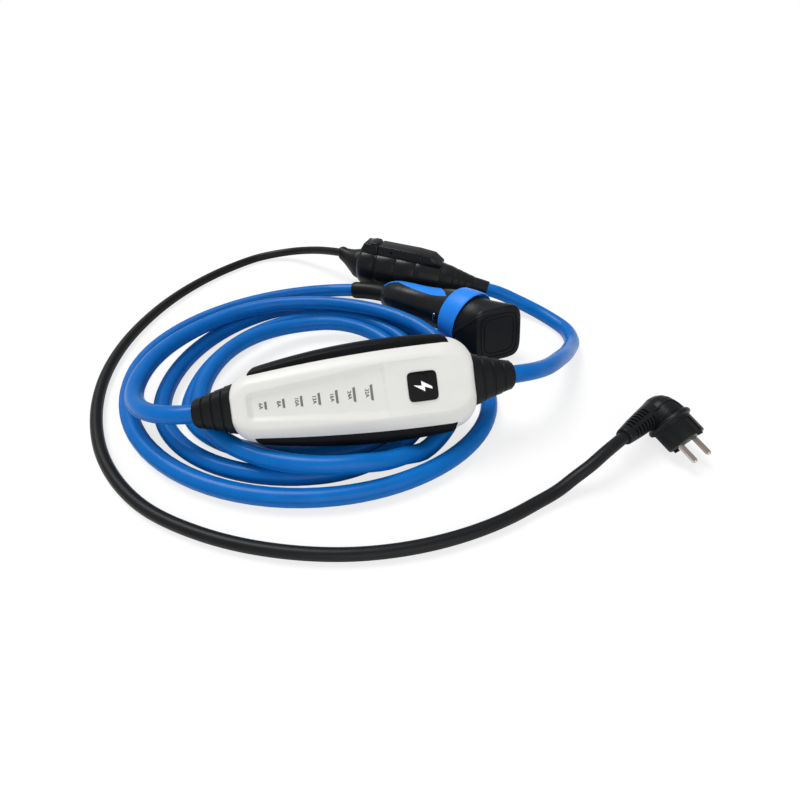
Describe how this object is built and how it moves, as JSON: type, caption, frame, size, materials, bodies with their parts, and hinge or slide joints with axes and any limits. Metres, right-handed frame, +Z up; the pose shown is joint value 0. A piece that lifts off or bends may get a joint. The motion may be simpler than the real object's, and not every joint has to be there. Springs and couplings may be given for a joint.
{
  "type": "portable electric vehicle charger",
  "caption": "Portable car charger: tapered control box leaning on its coiled charge cable, capped vehicle connector, in-line coupler, mains lead and earthed plug.",
  "frame": {"origin": "on the floor below the middle of the control box, vehicle connector and coupler taken together", "axes": "+X along the control box towards its wide end, +Y from the control box towards the coupler, +Z up from the floor"},
  "size_m": [0.5606, 0.5172, 0.0929],
  "materials": {
    "shell_white": "satin",
    "bumper_rubber": "fine grain",
    "relief_rubber": "soft matte",
    "seal_rubber": "matte",
    "black_plastic": "fine spark texture",
    "badge_gloss": "polished",
    "bar_grey": "smoked",
    "cable_blue": "satin",
    "blue_plastic": "satin",
    "mains_black": "satin",
    "steel": "nickel plated",
    "contact_brass": "silver plated",
    "board_green": "solder mask",
    "component_grey": "satin",
    "core_insulation": "satin"
  },
  "bodies": {
    "charger": {"upper_shell": "shell_white", "lower_shell": "shell_white", "housing_seal": "seal_rubber", "far_bumper": "bumper_rubber", "near_bumper": "bumper_rubber", "indicator_bars": "bar_grey", "face_badge": "badge_gloss", "housing_screws": "steel", "circuit_board": "board_green", "relays": "component_grey", "capacitors": "component_grey", "current_sensor": "component_grey", "terminal_blocks": "component_grey", "charge_cores": "core_insulation", "supply_cores": "core_insulation", "charge_relief": "relief_rubber", "supply_relief": "relief_rubber", "charge_cable": "cable_blue", "link_cable": "cable_blue", "mains_cable": "mains_black", "cable_sleeve": "relief_rubber", "grip_upper": "black_plastic", "grip_lower": "black_plastic", "grip_inlay": "blue_plastic", "grip_screws": "steel", "grip_cores": "core_insulation", "collar_ring": "blue_plastic", "contact_carrier": "black_plastic", "power_contacts": "contact_brass", "signal_contacts": "contact_brass", "coupler_gland": "relief_rubber", "coupler_head": "black_plastic", "coupler_seal": "seal_rubber", "coupler_pins": "contact_brass", "coupler_socket": "black_plastic", "coupler_latch": "black_plastic", "coupler_tail": "relief_rubber", "plug_body": "relief_rubber", "plug_pins": "steel", "earth_clips": "steel"},
    "cap": {"protective_cap": "relief_rubber"}
  },
  "joints": [
    {"name": "cap_slide", "type": "slide", "parent": "charger", "child": "cap", "axis": [0.5591, -0.8289, 0.0175], "range_m": [0, 0.045]}
  ]
}
